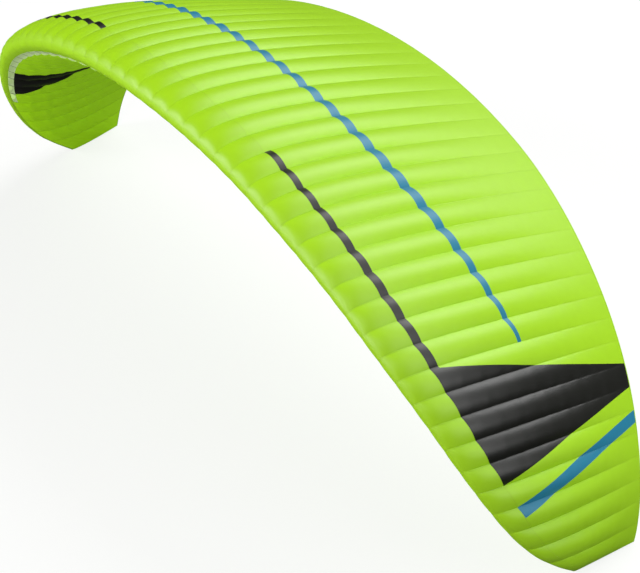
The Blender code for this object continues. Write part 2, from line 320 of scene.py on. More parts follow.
def to_world(share, w, y, z):
    """Stands the profile plane on the arc: z runs along the arc's normal and the fan moves the
    point along the arc by fan |share|^6 (1/2 - w^2) chord. Then the nose is pitched up."""
    x, height, slope = arc_place(share)
    side = np.where(share < 0.0, -1.0, 1.0)
    along = FAN * np.abs(share) ** 6 * (0.5 - w * w) * curve(PLAN, 1, np.abs(share))
    pz = height + np.cos(slope) * z - np.abs(np.sin(slope)) * along
    return np.stack([
        x + np.sin(slope) * z + side * np.cos(slope) * along,
        y * math.cos(NOSE_UP) + pz * math.sin(NOSE_UP) + WING_Y,
        -y * math.sin(NOSE_UP) + pz * math.cos(NOSE_UP)], axis=-1)


def tip_edge(w):
    """World height of a tip's closing edge at w, before the wing is set down."""
    one = np.ones_like(w)
    return to_world(one, w, *profile(one, w))[..., 2]


TIP_LEVEL = tip_edge(np.linspace(-1.0, 1.0, 41)).mean()


def sail(share, w, lift):
    """A point of a sail: the profile point moved out by lift, stood on the arc and set down, so
    that the closing edges of the last cells lie level on the floor."""
    share, w = np.broadcast_arrays(share, w)
    y, z = profile(share, w)
    ny, nz = profile_out(share, w)
    points = to_world(share, w, y + ny * lift, z + nz * lift)
    t = np.clip((np.abs(share) - SEAMS[-2]) / (1.0 - SEAMS[-2]), 0.0, 1.0)
    points[..., 2] -= TIP_LEVEL + t * t * (tip_edge(w) - TIP_LEVEL)
    points[..., 2] = np.where(t >= 1.0, 0.0, points[..., 2])
    return points


def stations(first, last):
    """Shares along a run of cells, with the place across the cell from 0 to 1, the cell's
    width and the cell's number. The outermost ones stop half a gap short of the next piece."""
    cells = np.arange(first, last)
    across = np.append(np.tile(ACROSS, len(cells)), 1.0)
    cell = np.append(np.repeat(cells, len(ACROSS)), last - 1)
    width = (SEAMS[cell + 1] - SEAMS[cell]) * HALF_SPAN
    share = SEAMS[cell] + (SEAMS[cell + 1] - SEAMS[cell]) * across
    gap = PIECE_GAP / 2.0 / HALF_SPAN
    share[0] += gap if first > 0 else 0.0
    share[-1] -= gap if last < len(SEAMS) - 1 else 0.0
    return share, across, width, cell


def from_seam(across, width):
    """Distance across the cell to its nearer seam: the lesser of t and 1 - t, times the width."""
    return np.minimum(across, 1.0 - across) * width


def nose_seam(share):
    """Chord share of the cross seam: its middle value, and more by the cube of the share."""
    return NOSE_SEAM + NOSE_SEAM_TIP * np.abs(share) ** 3


def grid_quads(rows, columns):
    """Corners of the quads of a grid of points, turned so that the first parameter runs along
    the span and the second from the rear to the nose gives faces that look outwards."""
    index = np.arange(rows * columns).reshape(rows, columns)
    return np.stack([index[:-1, :-1], index[1:, :-1], index[1:, 1:], index[:-1, 1:]], -1).reshape(-1, 4)


SHARP_ANGLE = math.radians(48.0)


def cloth_piece(name, face, back, quads, values, uv, materials):
    """A closed sheet: face and back are two matching sets of points, quads the corners on the
    face. The back's quads start at the same corner, so both sides fold along the same diagonal.
    Every quad edge without a neighbour is walled between the two sides. values are named
    numbers a point, uv its place on the flat cloth. The back takes the last of the materials."""
    count = len(face)
    starts, ends = quads.ravel(), np.roll(quads, -1, axis=1).ravel()
    free = ~np.isin(starts * count + ends, ends * count + starts)
    a, b = starts[free], ends[free]
    turned = quads[:, [0, 3, 2, 1]] + count
    corners = np.concatenate([quads, turned, np.stack([b, a, a + count, b + count], -1)])
    points = np.concatenate([face, back])
    mesh = bpy.data.meshes.new(name)
    mesh.vertices.add(len(points))
    mesh.vertices.foreach_set("co", points.astype(np.float32).ravel())
    mesh.loops.add(corners.size)
    mesh.loops.foreach_set("vertex_index", corners.astype(np.int32).ravel())
    mesh.polygons.add(len(corners))
    mesh.polygons.foreach_set("loop_start", np.arange(0, corners.size, 4, dtype=np.int32))
    side = np.zeros(len(corners), np.int32)
    side[len(quads):2 * len(quads)] = len(materials) - 1
    for material in materials:
        mesh.materials.append(material)
    mesh.polygons.foreach_set("material_index", side)
    mesh.polygons.foreach_set("use_smooth", np.ones(len(corners), bool))
    mesh.update(calc_edges=True)
    layer = mesh.uv_layers.new(name="flat_cloth")
    flat = np.concatenate([uv, uv])[corners.ravel()]
    layer.data.foreach_set("uv", flat.astype(np.float32).ravel())
    for key, numbers in values.items():
        carried = mesh.attributes.new(key, "FLOAT", "POINT")
        carried.data.foreach_set("value", np.concatenate([numbers, numbers]).astype(np.float32))
    mesh.set_sharp_from_angle(angle=SHARP_ANGLE)
    piece = bpy.data.objects.new(name, mesh)
    bpy.context.scene.collection.objects.link(piece)
    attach(piece, "root")
    return piece


def run_lengths(points):
    """Lengths over a grid of points from its first row and from its first column: the running
    sums of the distances between neighbours."""
    along = np.linalg.norm(np.diff(points, axis=1), axis=-1)
    aside = np.linalg.norm(np.diff(points, axis=0), axis=-1)
    v = np.concatenate([np.zeros((len(points), 1)), np.cumsum(along, axis=1)], axis=1)
    u = np.concatenate([np.zeros((1, points.shape[1])), np.cumsum(aside, axis=0)], axis=0)
    return u, v


# the seam lines where the black stripe starts and where the blue one ends, and how far the black
# stripe runs on into the wedge, in metres
BLACK_FROM = 31
BLUE_TO = 41
WEDGE_LAP = 0.02

# share of the half span, width of the black stripe, width of the blue stripe, both in metres
STRIPES = np.array([
    (0.00, 0.040, 0.084), (0.239, 0.058, 0.094), (0.367, 0.062, 0.100), (0.450, 0.070, 0.090),
    (0.531, 0.074, 0.074), (0.609, 0.076, 0.052), (0.647, 0.078, 0.040), (1.00, 0.080, 0.036)])

# chord share of the blue stripe's front edge
BLUE_FRONT = np.array([
    (0.00, 0.4055), (0.153, 0.4072), (0.282, 0.4158), (0.367, 0.4281), (0.450, 0.4500),
    (0.531, 0.4740), (0.609, 0.5013), (0.647, 0.5148), (1.00, 0.6500)])

# the straight edges of the wedge and the band near the tip run from one seam line, at this chord
# share, to another one at the trailing edge
EDGE_FRONT = 0.12
EDGES = {"wedge_in": (41, 43), "wedge_out": (46, 44), "band_in": (47, 45)}
BAND_WIDE = 0.085


def past_line(start, end, share, u):
    """Distance in metres past the straight line between two places in the flat plan, above zero
    on the side of the tip: the cross product of the line's direction with the offset from its
    start. Each place is a share of the half span and a share of the chord."""
    ax, ay = start[0] * HALF_SPAN, start[1] * curve(PLAN, 1, np.array(start[0]))
    bx, by = end[0] * HALF_SPAN, end[1] * curve(PLAN, 1, np.array(end[0]))
    dx, dy = bx - ax, by - ay
    a = np.abs(share)
    return ((a * HALF_SPAN - ax) * dy - (u * curve(PLAN, 1, a) - ay) * dx) / math.hypot(dx, dy)


def panel_lines(share, u):
    """The distances, in metres, that the colour panels are cut from: inside the rear of the black
    stripe, past the front and inside the rear of the blue one, out along the span, and past the
    straight edges near the tip."""
    a = np.abs(share)
    chord = curve(PLAN, 1, a)
    blue_front = curve(BLUE_FRONT, 1, a) * chord
    distances = {
        "black_rear": nose_seam(share) * chord + curve(STRIPES, 1, a) - u * chord,
        "blue_front": u * chord - blue_front,
        "blue_rear": blue_front + curve(STRIPES, 2, a) - u * chord,
        "out": a * HALF_SPAN}
    for edge, (front, rear) in EDGES.items():
        distances[edge] = past_line((SEAMS[front], EDGE_FRONT), (SEAMS[rear], 1.0), share, u)
    return distances


# the ripstop's squares, the part of a square from its middle where its thick thread starts, and
# the share of the height that the fine threads have
RIPSTOP_SQUARE = 0.006
THREAD_FROM = 0.38
FINE_SHARE = 0.3

# scale, detail and roughness of the noises: the fine threads, and the broad and fine mottle
FINE_THREADS = (5.0, 15.0, 1.0)
BROAD_MOTTLE = (5.0, 1.7, 3.0)
FINE_MOTTLE = (5.0, 15.0, 2.0)

# metres from the seam line: the row of stitches and the half width of its thread, full and faded,
# the edge of the doubled cloth, full and faded, and the groove of the seam itself
STITCH_ROW = 0.005
STITCH_THREAD = (0.0006, 0.0014)
DOUBLED_CLOTH = (0.008, 0.011)
SEAM_GROOVE = 0.002

# the length of one stitch, the part of it from its middle that shows, full and faded, and its
# height as a share of the doubled cloth's
STITCH_LONG = 0.0045
STITCH_SHOWS = (0.30, 0.38)
STITCH_HIGH = 0.5

# how much of the cloth's mottle is broad, and the rest is fine
BROAD_SHARE = 0.7
GRAIN_SHARE = 0.3


def new_group(name, inputs, outputs):
    """An empty node group with its sockets, each given as a name and a type, and with its input
    and its output node."""
    group = bpy.data.node_groups.new(name, "ShaderNodeTree")
    for label, kind in inputs:
        group.interface.new_socket(label, in_out="INPUT", socket_type=kind)
    for label, kind in outputs:
        group.interface.new_socket(label, in_out="OUTPUT", socket_type=kind)
    return group, add_node(group, "NodeGroupInput"), add_node(group, "NodeGroupOutput")


def ripstop_weave():
    """Node group for the cloth's threads. A thick thread lies where a place on the flat cloth is
    more than THREAD_FROM from the middle of its square, along or across. The height is the thick
    threads with a share of noise for the fine ones."""
    group, given, result = new_group(
        "ripstop_weave",
        (("Cloth place", "NodeSocketVector"), ("Square size", "NodeSocketFloat")),
        (("Thread", "NodeSocketFloat"), ("Height", "NodeSocketFloat")))
    place = add_node(group, "ShaderNodeSeparateXYZ", given.outputs["Cloth place"])
    threads = []
    for axis in (0, 1):
        squares = math_node(group, "DIVIDE", place.outputs[axis], given.outputs["Square size"])
        offset = math_node(group, "SUBTRACT", math_node(group, "FRACT", squares), 0.5)
        from_middle = math_node(group, "ABSOLUTE", offset)
        threads.append(ramp(group, from_middle, THREAD_FROM, 0.5, 0.0, 1.0))
    thick = math_node(group, "MAXIMUM", *threads)
    fine = add_node(group, "ShaderNodeTexNoise", given.outputs["Cloth place"], *FINE_THREADS,
                    noise_dimensions="2D").outputs[0]
    height = math_node(group, "ADD", thick, math_node(group, "MULTIPLY", fine, FINE_SHARE))
    group.links.new(thick, result.inputs["Thread"])
    group.links.new(height, result.inputs["Height"])
    return group


def sewn_seam():
    """Node group for a seam. From the distance to it and the place along it come the stitches,
    a row of dashes on either side, the doubled cloth, and a height: half the stitches and the
    doubled cloth, less the groove between the two strips."""
    group, given, result = new_group(
        "sewn_seam",
        (("From seam", "NodeSocketFloat"), ("Along", "NodeSocketFloat")),
        (("Stitch", "NodeSocketFloat"), ("Fold", "NodeSocketFloat"), ("Height", "NodeSocketFloat")))
    gap = math_node(group, "ABSOLUTE", given.outputs["From seam"])
    from_row = math_node(group, "ABSOLUTE", math_node(group, "SUBTRACT", gap, STITCH_ROW))
    row = ramp(group, from_row, *STITCH_THREAD, 1.0, 0.0)
    beat = math_node(group, "FRACT", math_node(group, "DIVIDE", given.outputs["Along"], STITCH_LONG))
    from_middle = math_node(group, "ABSOLUTE", math_node(group, "SUBTRACT", beat, 0.5))
    dash = ramp(group, from_middle, *STITCH_SHOWS, 1.0, 0.0)
    stitch = math_node(group, "MULTIPLY", row, dash)
    fold = ramp(group, gap, *DOUBLED_CLOTH, 1.0, 0.0)
    groove = ramp(group, gap, 0.0, SEAM_GROOVE, 1.0, 0.0)
    raised = math_node(group, "ADD", math_node(group, "MULTIPLY", stitch, STITCH_HIGH), fold)
    group.links.new(stitch, result.inputs["Stitch"])
    group.links.new(fold, result.inputs["Fold"])
    group.links.new(math_node(group, "SUBTRACT", raised, groove), result.inputs["Height"])
    return group


def cloth_tone():
    """Node group that makes a colour lighter and darker from place to place: 1 plus the amount
    times the offset of a broad and a fine noise from their middle."""
    group, given, result = new_group(
        "cloth_tone",
        (("Colour", "NodeSocketColor"), ("Amount", "NodeSocketFloat")),
        (("Colour", "NodeSocketColor"),))
    place = add_node(group, "ShaderNodeTexCoord").outputs["Object"]
    broad = add_node(group, "ShaderNodeTexNoise", place, *BROAD_MOTTLE).outputs[0]
    grain = add_node(group, "ShaderNodeTexNoise", place, *FINE_MOTTLE).outputs[0]
    mottle = math_node(group, "ADD", math_node(group, "MULTIPLY", broad, BROAD_SHARE),
                       math_node(group, "MULTIPLY", grain, GRAIN_SHARE))
    swing = math_node(group, "MULTIPLY", math_node(group, "SUBTRACT", mottle, 0.5), given.outputs["Amount"])
    value = math_node(group, "ADD", swing, 1.0)
    shift = add_node(group, "ShaderNodeHueSaturation", 0.5, 1.0, value, 1.0, given.outputs["Colour"])
    group.links.new(shift.outputs[0], result.inputs["Colour"])
    return group


weave = ripstop_weave()
sewing = sewn_seam()
tone = cloth_tone()


def group_node(tree, group, *inputs):
    """Places a node group in a material, with its inputs in order."""
    return add_node(tree, "ShaderNodeGroup", *inputs, node_tree=group)


def attribute(tree, name):
    """A number carried by the mesh, as a socket."""
    return add_node(tree, "ShaderNodeAttribute", attribute_name=name).outputs["Fac"]


def mix(tree, amount, first, second):
    """Colour mix from first to second, as a socket."""
    return add_node(tree, "ShaderNodeMix", amount, first, second, data_type="RGBA").outputs["Result"]


LIME = srgb(177, 234, 3)
BLACK = srgb(12, 14, 4)
BLUE = srgb(20, 135, 170)

# how much less rough the black cloth is, and how wide a panel's edge is, in metres
BLACK_SMOOTHER = 0.07
PANEL_EDGE = 0.001

# how much darker the stitches and the thick threads are, and how far the colour swings
STITCH_DARK = 0.12
THREAD_DARK = 0.05
MOTTLE = 0.08

# how much rougher the thick threads are, and how high the threads and the seams stand, in metres
THREAD_ROUGH = 0.08
WEAVE_HIGH = 0.00008
SEAM_HIGH = 0.0003


def least(tree, first, *rest):
    """The least of several numbers, which is where several panels overlap."""
    for socket in rest:
        first = math_node(tree, "MINIMUM", first, socket)
    return first


def inside(tree, distance):
    """1 where a distance is above zero and 0 below, straight across an edge PANEL_EDGE wide."""
    return ramp(tree, distance, -PANEL_EDGE / 2.0, PANEL_EDGE / 2.0, 0.0, 1.0)


def top_panels(tree):
    """The colour panels of the top sail, each as a mask, a colour and how much smoother its cloth
    is: two stripes, each the overlap of the insides of its edges, with the wedge added to the
    black one and the short band to the blue one."""
    out = attribute(tree, "out")
    wedge_in, band_in = attribute(tree, "wedge_in"), attribute(tree, "band_in")
    stripe = least(tree, attribute(tree, "black_rear"),
                   math_node(tree, "SUBTRACT", out, float(SEAMS[BLACK_FROM] * HALF_SPAN)),
                   math_node(tree, "SUBTRACT", WEDGE_LAP, wedge_in))
    wedge = least(tree, wedge_in, math_node(tree, "MULTIPLY", attribute(tree, "wedge_out"), -1.0))
    blue = least(tree, attribute(tree, "blue_front"), attribute(tree, "blue_rear"),
                 math_node(tree, "SUBTRACT", float(SEAMS[BLUE_TO] * HALF_SPAN), out))
    band = least(tree, band_in, math_node(tree, "SUBTRACT", BAND_WIDE, band_in))
    return ((inside(tree, math_node(tree, "MAXIMUM", stripe, wedge)), BLACK, BLACK_SMOOTHER),
            (inside(tree, math_node(tree, "MAXIMUM", blue, band)), BLUE, 0.0))


def sail_material(name, colour, roughness, painted_glow, seam_dark, panels=None):
    """Coated ripstop: one colour with any panels of other cloth, a little darker along the seams,
    on the stitches and on the thick threads, mottled, with the weave and the seams as bump. The
    darker seams are partly the doubled cloth and partly painted shade in the creases between the
    cells. The emission strength it is given is a painted glow in the cloth's own colour, which
    stands in for the daylight that passes through the thin cloth to its shaded side, and seam_dark
    is how much darker the seams are."""
    material = bpy.data.materials.new(name)
    material.use_nodes = True
    tree = material.node_tree
    shader = tree.nodes["Principled BSDF"]
    shader.inputs["Specular IOR Level"].default_value = 0.75
    flat = add_node(tree, "ShaderNodeUVMap", uv_map="flat_cloth").outputs[0]
    flat_xyz = add_node(tree, "ShaderNodeSeparateXYZ", flat)
    cloth, rough = colour, roughness
    for mask, panel_colour, smoother in (panels(tree) if panels else ()):
        cloth = mix(tree, mask, cloth, panel_colour)
        rough = math_node(tree, "SUBTRACT", rough, math_node(tree, "MULTIPLY", mask, smoother))
    ribs = group_node(tree, sewing, attribute(tree, "rib_seam"), flat_xyz.outputs[1])
    hems = group_node(tree, sewing, attribute(tree, "hem"), flat_xyz.outputs[0])
    threads = group_node(tree, weave, flat, RIPSTOP_SQUARE)
    thread = threads.outputs["Thread"]
    fold = math_node(tree, "MAXIMUM", ribs.outputs["Fold"], hems.outputs["Fold"])
    stitch = math_node(tree, "MAXIMUM", ribs.outputs["Stitch"], hems.outputs["Stitch"])
    # Darker along the seams: partly the doubled cloth, partly painted shade in the crease between two cells.
    darker = math_node(tree, "ADD", math_node(tree, "MULTIPLY", fold, seam_dark),
                       math_node(tree, "MULTIPLY", stitch, STITCH_DARK))
    darker = math_node(tree, "ADD", darker, math_node(tree, "MULTIPLY", thread, THREAD_DARK))
    value = math_node(tree, "SUBTRACT", 1.0, darker)
    shaded = add_node(tree, "ShaderNodeHueSaturation", 0.5, 1.0, value, 1.0, cloth).outputs[0]
    toned = group_node(tree, tone, shaded, MOTTLE)
    tree.links.new(toned.outputs[0], shader.inputs["Base Color"])
    # Painted glow: the cloth gives off its own colour, standing in for the daylight that passes through it.
    tree.links.new(toned.outputs[0], shader.inputs["Emission Color"])
    shader.inputs["Emission Strength"].default_value = painted_glow
    rough = math_node(tree, "ADD", math_node(tree, "MULTIPLY", thread, THREAD_ROUGH), rough)
    tree.links.new(rough, shader.inputs["Roughness"])
    seams = math_node(tree, "ADD", ribs.outputs["Height"], hems.outputs["Height"])
    height = math_node(tree, "ADD", math_node(tree, "MULTIPLY", threads.outputs["Height"], WEAVE_HIGH),
                       math_node(tree, "MULTIPLY", seams, SEAM_HIGH))
    bump = add_node(tree, "ShaderNodeBump", 1.0, 1.0)
    tree.links.new(height, bump.inputs["Height"])
    tree.links.new(bump.outputs[0], shader.inputs["Normal"])
    return material


# Colours of the inner face: their paleness is partly painted light, and the glow is a painted glow for the
# daylight through the sheet.
INSIDE_CLOTH = srgb(214, 228, 182)
INSIDE_THREAD = srgb(200, 216, 164)
INSIDE_PAINTED_GLOW = srgb(206, 224, 172)
INSIDE_MOTTLE = 0.12
INSIDE_ROUGH = 0.6


def inside_material():
    """The inner face of the sails: the same cloth uncoated, duller, and much paler than the lime.
    The glow, and part of the paleness, are painted light that stands in for the daylight passing
    through the thin sheet."""
    material = bpy.data.materials.new("sail_inside")
    material.use_nodes = True
    tree = material.node_tree
    shader = tree.nodes["Principled BSDF"]
    flat = add_node(tree, "ShaderNodeUVMap", uv_map="flat_cloth").outputs[0]
    thread = group_node(tree, weave, flat, RIPSTOP_SQUARE).outputs["Thread"]
    cloth = mix(tree, thread, INSIDE_CLOTH, INSIDE_THREAD)
    tree.links.new(group_node(tree, tone, cloth, INSIDE_MOTTLE).outputs[0], shader.inputs["Base Color"])
    rough = math_node(tree, "ADD", math_node(tree, "MULTIPLY", thread, THREAD_ROUGH), INSIDE_ROUGH)
    tree.links.new(rough, shader.inputs["Roughness"])
    # Painted glow, standing in for the daylight that passes through the thin sheet.
    shader.inputs["Emission Color"].default_value = INSIDE_PAINTED_GLOW
    shader.inputs["Emission Strength"].default_value = 0.32
    return material


top_material = sail_material("top_ripstop", LIME, roughness=0.47, painted_glow=0.0, seam_dark=0.01,
                             panels=top_panels)
sail_inside = inside_material()

TOP_ROWS = 84

# half the gap at the cross seam, as a root of the chord share
SEAM_GAP = 0.0001

# how much fuller the cells swell near the tips, and from where and over what part of the half span
# it comes in
TIP_FULLER = 0.25
FULLER_FROM = 0.60
FULLER_OVER = 0.25

# the gathers: their height, the lengths of their two waves, how they shift from cell to cell, and
# how far they reach from the seam and rise beside it
TOP_PUCKER = 0.0011
PUCKER_WAVE = 0.170
PUCKER_FINE = 0.097
PUCKER_SHIFT = 2.4
PUCKER_CELL = 1.7
PUCKER_FINE_SHIFT = 2.3
PUCKER_REACH = 0.06
PUCKER_RISE = 0.012

# how far they fade out before the trailing edge and before a front edge
PUCKER_FADE_REAR = 0.25
PUCKER_FADE_FRONT = 0.1


def swell(rise, across, width, w, fuller=1.0):
    """Lift of a cell's cloth over its seams: the parabola 4t(1 - t) times the cell's width and
    its fullness, times the rise at the chord share w^2."""
    return (4.0 * across * (1.0 - across) * width * fuller)[:, None] * curve(rise, 1, w * w)


def fullness(share):
    """How full a cell of the top sail is: 1, and TIP_FULLER more near the tip, by the smooth step
    t^2 (3 - 2t)."""
    t = np.clip((np.abs(share) - FULLER_FROM) / FULLER_OVER, 0.0, 1.0)
    return 1.0 + TIP_FULLER * t * t * (3.0 - 2.0 * t)


def puckers(v, gap, cell):
    """Small gathers across the seams: a sine along the seam and half of a finer one, shifted from
    cell to cell, times exp(-distance from the seam / reach), and none on the seam itself."""
    shift = PUCKER_SHIFT * np.sin(cell * PUCKER_CELL)[:, None]
    broad = np.sin(v / PUCKER_WAVE * 2.0 * math.pi + shift)
    fine = np.sin(v / PUCKER_FINE * 2.0 * math.pi + PUCKER_FINE_SHIFT * shift)
    gap = gap[:, None]
    return (broad + 0.5 * fine) * np.exp(-gap / PUCKER_REACH) * np.clip(gap / PUCKER_RISE, 0.0, 1.0)


def gathered(share, across, width, cell, w, lift, height, fades):
    """A lift with gathers added. They come in over fades[0] metres from the first end of the cloth
    and go out over fades[1] metres before the last end."""
    v_run = run_lengths(sail(share[:, None], w, lift))[1]
    fade = np.clip(v_run / fades[0], 0.0, 1.0) * np.clip((v_run[:, -1:] - v_run) / fades[1], 0.0, 1.0)
    return lift + height * puckers(v_run, from_seam(across, width), cell) * fade


def sail_piece(name, node, share, across, width, w, lift, lines, material):
    """Builds one section of a sail from its grid of roots w and its lift. It carries the distances
    to the nearer rib seam and to the nearer of its two sewn ends, and those in lines."""
    s = np.broadcast_to(share[:, None], w.shape)
    outer, inner = sail(s, w, lift), sail(s, w, lift - CLOTH)
    v_run = run_lengths(outer)[1]
    values = {"rib_seam": np.broadcast_to(from_seam(across, width)[:, None], w.shape).ravel(),
              "hem": np.minimum(v_run, v_run[:, -1:] - v_run).ravel()}
    values.update({key: numbers.ravel() for key, numbers in lines.items()})
    flat = np.stack([s * HALF_SPAN, v_run], -1).reshape(-1, 2)
    piece = cloth_piece(name, outer.reshape(-1, 3), inner.reshape(-1, 3), grid_quads(*w.shape), values, flat,
                        (material, sail_inside))
    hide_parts(node)


for name, first, last in SECTIONS:
    share, across, width, cell = stations(first, last)
    seam_w = np.sqrt(nose_seam(share))[:, None] + SEAM_GAP
    w = 1.0 + (seam_w - 1.0) * np.linspace(0.0, 1.0, TOP_ROWS + 1)[None, :]
    lines = panel_lines(np.broadcast_to(share[:, None], w.shape), w * w)
    lift = gathered(share, across, width, cell, w, swell(RISE_TOP, across, width, w, fullness(share)),
                    TOP_PUCKER, (PUCKER_FADE_REAR, PUCKER_FADE_FRONT))
    sail_piece("top_sail_" + name, "top_" + name, share, across, width, w, lift, lines, top_material)

# ---------------------------------------------------------------------------------------------
# Nose panels. Stiffer coated cloth from the cross seam round the nose to the upper lip of the
# intakes, held in its curve by thin rods. Its swelling dies away towards the nose and the lip.
# ---------------------------------------------------------------------------------------------
NOSE_ROWS = 34
LIME_NOSE = srgb(174, 230, 3)

# chord share of the upper lip, and the part of the root over which the swelling dies away past the
# nose, at the intakes and at the closed tips, down to the share that is left at the lip
LIP_UPPER = 0.028
LIP_FLAT = 0.14
TIP_FLAT = 0.25
LIP_SWELL = 0.15

# name, first and last seam line
NOSE_SECTIONS = (("right_tip", 0, 5), ("right_outer", 5, 17), ("right_inner", 17, 21), ("centre", 21, 30),
                 ("left_inner", 30, 34), ("left_outer", 34, 46), ("left_tip", 46, 51))

nose_material = sail_material("nose_ripstop", LIME_NOSE, roughness=0.47, painted_glow=0.0, seam_dark=0.02)

for name, first, last in NOSE_SECTIONS:
    share, across, width = stations(first, last)[:3]
    seam_w = np.sqrt(nose_seam(share))[:, None] - SEAM_GAP
    flat = TIP_FLAT if name.endswith("tip") else LIP_FLAT
    w = seam_w + (-math.sqrt(LIP_UPPER) - seam_w) * np.linspace(0.0, 1.0, NOSE_ROWS + 1)[None, :]
    lift = swell(RISE_TOP, across, width, w, fullness(share)) * np.clip(1.0 + w / flat, LIP_SWELL, 1.0)
    sail_piece("nose_panel_" + name, "nose_" + name, share, across, width, w, lift, {}, nose_material)

# ---------------------------------------------------------------------------------------------
# Bottom sail. The same cloth, less swollen, from the lower lip of the intakes to the trailing
# edge. In the five closed cells of each tip it runs on to the nose and is sewn to the top sail.
# ---------------------------------------------------------------------------------------------
LIP_LOWER = 0.055
LIP_GAP = 0.0008
UNDER_ROWS = 84
TIP_ROWS = 12
UNDER_PUCKER = 0.0050

RISE_BOTTOM = np.array([
    (0.00, 0.008), (0.03, 0.040), (0.12, 0.085), (0.50, 0.080), (0.85, 0.030), (1.00, 0.004)])

LIME_UNDER = srgb(172, 232, 2)

# the black triangle under each tip: the seam lines at the ends of its base, the chord shares of
# its base and its point, and how far the two ends of the point lie out from the inner seam line
UNDER_IN = 42
UNDER_OUT = 45
UNDER_BASE = 0.05
UNDER_POINT = 0.46
POINT_IN = 0.012
POINT_OUT = 0.020


def under_lines(share, u):
    """Distances in metres past the inner, outer and rear line of the black triangle."""
    inner = SEAMS[UNDER_IN]
    return {
        "under_in": past_line((inner, UNDER_BASE), (inner + POINT_IN, UNDER_POINT), share, u),
        "under_out": past_line((SEAMS[UNDER_OUT], UNDER_BASE), (inner + POINT_OUT, UNDER_POINT), share, u),
        "under_rear": (u - UNDER_POINT) * curve(PLAN, 1, np.abs(share))}


def closed_rows(share, first_row):
    """Roots of the rows that close a tip's cells, from LIP_GAP short of the nose panel's edge to
    the first row of the open cells. The gap is a length, so it is divided by the length of the
    profile over a small step of the root."""
    step = 0.01
    edge = -math.sqrt(LIP_UPPER) * np.ones(len(share))
    y0, z0 = profile(share, edge)
    y1, z1 = profile(share, edge - step)
    front = (edge - step * LIP_GAP / np.hypot(y1 - y0, z1 - z0))[:, None]
    return front + (first_row - front) * np.linspace(0.0, 1.0, TIP_ROWS + 1)[None, :-1]


def under_panels(tree):
    """The black triangle of the bottom sail, as its mask, its colour and how much smoother it is."""
    minus = [math_node(tree, "MULTIPLY", attribute(tree, key), -1.0) for key in ("under_out", "under_rear")]
    return ((inside(tree, least(tree, attribute(tree, "under_in"), *minus)), BLACK, 0.0),)


# The bottom sail's glow is painted light that brightens its shaded underside, and its darker seams are partly
# painted crease shade.
bottom_material = sail_material("bottom_ripstop", LIME_UNDER, roughness=0.45, painted_glow=0.24, seam_dark=0.10,
                                panels=under_panels)

for name, first, last in SECTIONS:
    share, across, width, cell = stations(first, last)
    rows = -np.sqrt(np.linspace(LIP_LOWER, 1.0, UNDER_ROWS + 1))
    w = np.broadcast_to(rows[None, :], (len(share), len(rows)))
    if name.endswith("tip"):
        w = np.concatenate([closed_rows(share, rows[0]), w], axis=1)
    lift = gathered(share, across, width, cell, w, swell(RISE_BOTTOM, across, width, w),
                    UNDER_PUCKER, (PUCKER_FADE_FRONT, PUCKER_FADE_REAR))
    lines = under_lines(np.broadcast_to(share[:, None], w.shape), w * w)
    sail_piece("bottom_sail_" + name, "bottom_" + name, share, across, width, w, lift, lines, bottom_material)

# ---------------------------------------------------------------------------------------------
# Trailing tape. A narrow polyester tape folded over the rear edges of both sails and sewn
# through, which closes the wing from tip to tip.
# ---------------------------------------------------------------------------------------------

# chord shares that the tape covers, its cloth, how far it is clear of the sails, how far its fold
# stands behind their edge, and how much nearer its edges it is stitched than a sail is
TAPE_RUN = np.array([0.9962, 0.9975, 0.9988, 1.0])
TAPE_CLOTH = 0.0008
TAPE_CLEAR = 0.0002
TAPE_FOLD = 0.0026
TAPE_HEM = 0.003


def tape_side(share, across, width, sign, rise, clear):
    """One half of the tape at the chord shares of TAPE_RUN: the swollen surface of the top sail
    for sign 1 and of the bottom sail for -1, moved out by clear."""
    w = sign * np.sqrt(TAPE_RUN)[None, :]
    return sail(share[:, None], w, swell(rise, across, width, w) + clear)


def tape_face(share, across, width, clear):
    """The tape's face: the top half run to the edge, the fold at TAPE_FOLD past the middle of the
    two edges, and the bottom half run forward again."""
    top = tape_side(share, across, width, 1.0, RISE_TOP, clear)
    low = tape_side(share, across, width, -1.0, RISE_BOTTOM, clear)
    back = top[:, -1:] - top[:, -2:-1]
    back = back / np.linalg.norm(back, axis=-1, keepdims=True)
    fold = (top[:, -1:] + low[:, -1:]) / 2.0 + back * (TAPE_FOLD + clear)
    return np.concatenate([top, fold, low[:, ::-1]], axis=1)


tape_material = sail_material("trailing_tape", LIME_NOSE, roughness=0.55, painted_glow=0.0, seam_dark=0.01)
share, across, width = stations(0, len(SEAMS) - 1)[:3]
tape_outer = tape_face(share, across, width, TAPE_CLEAR + TAPE_CLOTH)
tape_inner = tape_face(share, across, width, TAPE_CLEAR)
tape_v = run_lengths(tape_outer)[1]
tape_shape = tape_v.shape
tape_lines = {"rib_seam": np.broadcast_to(from_seam(across, width)[:, None], tape_shape).ravel(),
              "hem": np.minimum(tape_v, tape_v[:, -1:] - tape_v).ravel() + TAPE_HEM}
tape_flat = np.stack([np.broadcast_to(share[:, None] * HALF_SPAN, tape_shape), tape_v], -1).reshape(-1, 2)
tape = cloth_piece("trailing_tape", tape_outer.reshape(-1, 3), tape_inner.reshape(-1, 3),
                   grid_quads(*tape_shape)[:, ::-1], tape_lines, tape_flat, (tape_material,))

# ---------------------------------------------------------------------------------------------
# Ribs. White ripstop walls between the open cells, sewn to both sails, with oval holes that let
# the air pass from cell to cell. A grey binding is sewn over the edge that shows in the intake.
# ---------------------------------------------------------------------------------------------
RIBS_A_SIDE = 21
RIB_CLOTH = 0.0008
RIB_CLEAR = 0.0010

